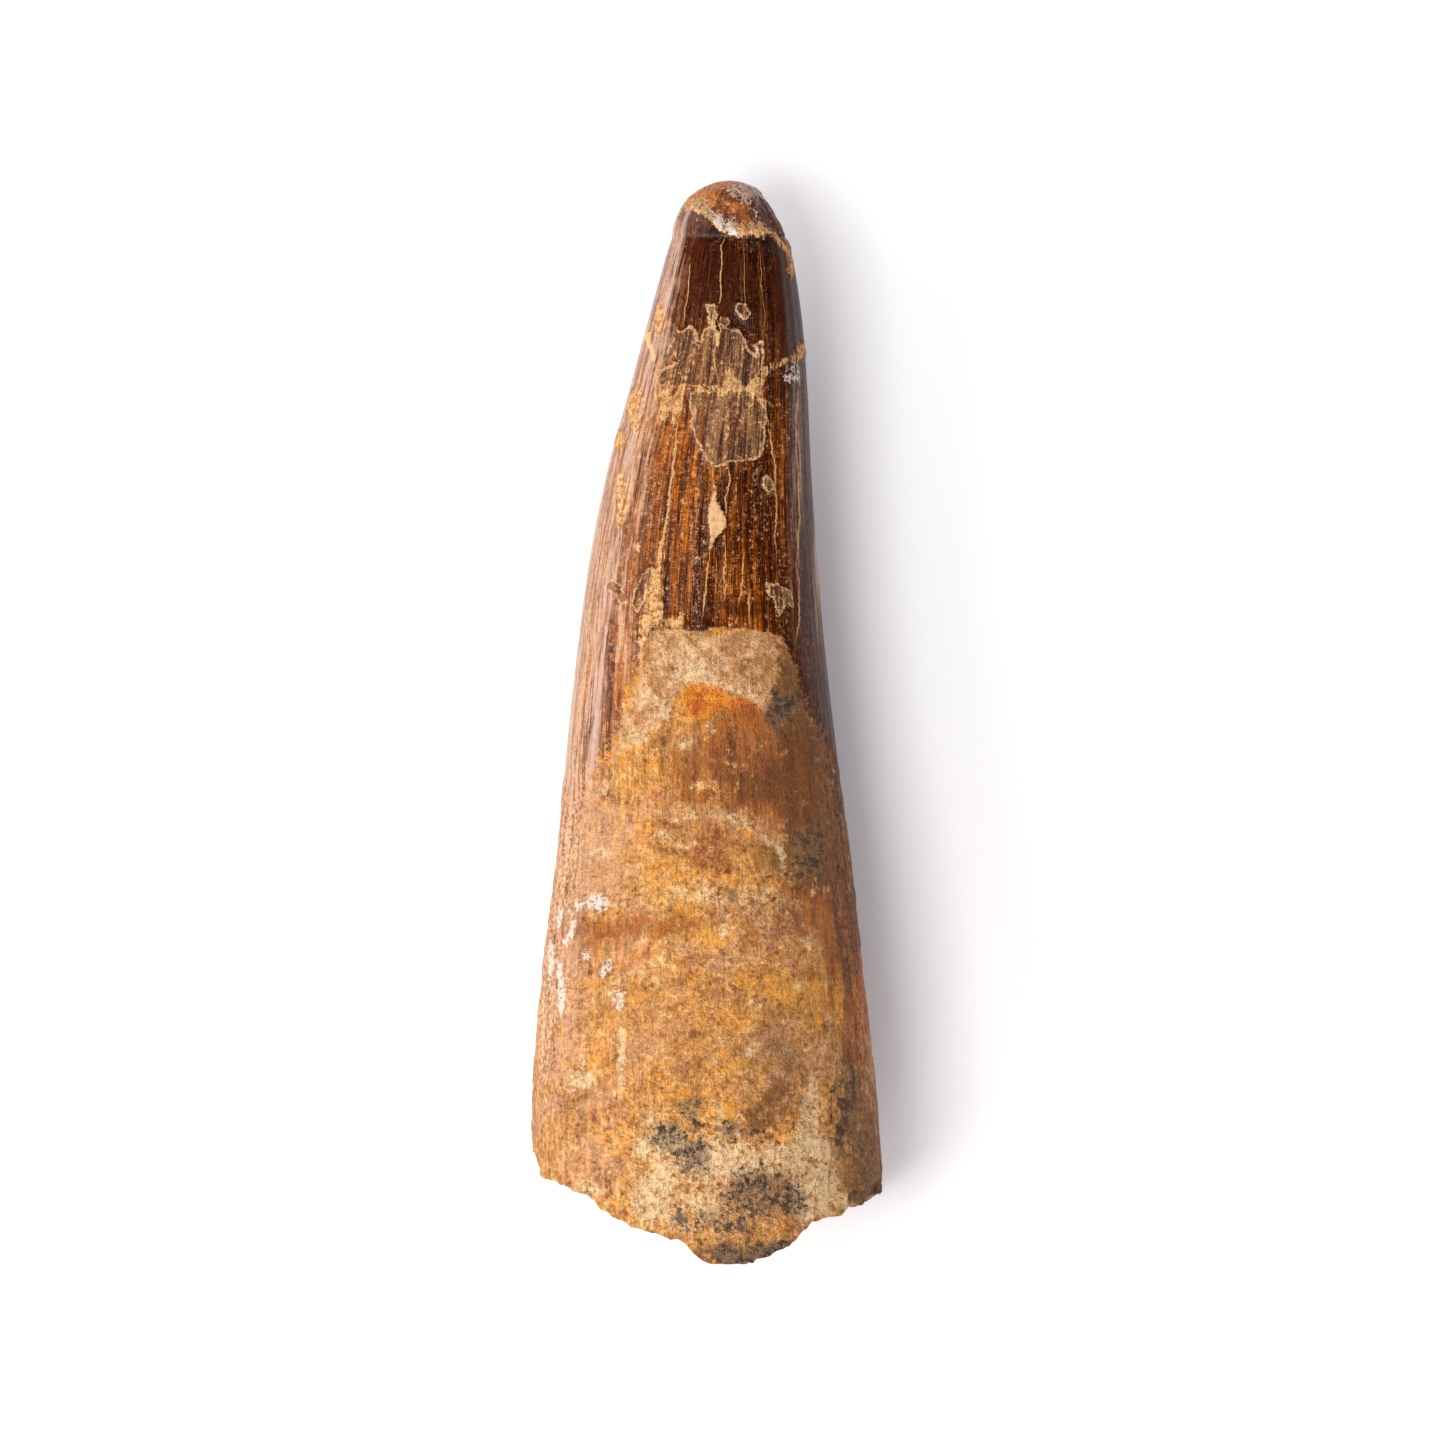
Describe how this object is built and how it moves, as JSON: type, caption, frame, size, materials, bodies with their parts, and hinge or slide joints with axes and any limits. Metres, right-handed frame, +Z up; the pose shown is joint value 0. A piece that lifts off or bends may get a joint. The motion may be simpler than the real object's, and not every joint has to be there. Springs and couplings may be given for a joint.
{
  "type": "fossil dinosaur tooth",
  "caption": "Long conical fossil tooth, lightly curved, with a fluted enamel crown, a worn tip and a smooth root that ends in a ragged break.",
  "frame": {"origin": "on the surface the tooth lies on, under the middle of its box", "axes": "+Y along the tooth towards its tip, +Z up from the surface it lies on, +X across it to the right when the tip points away"},
  "size_m": [0.0294, 0.09, 0.0238],
  "materials": {
    "fossil_tooth": "satin enamel and dentine in dark umber, red-brown and ochre, with matt sandy crust"
  },
  "bodies": {
    "root": {"tooth": "fossil_tooth"}
  },
  "joints": []
}
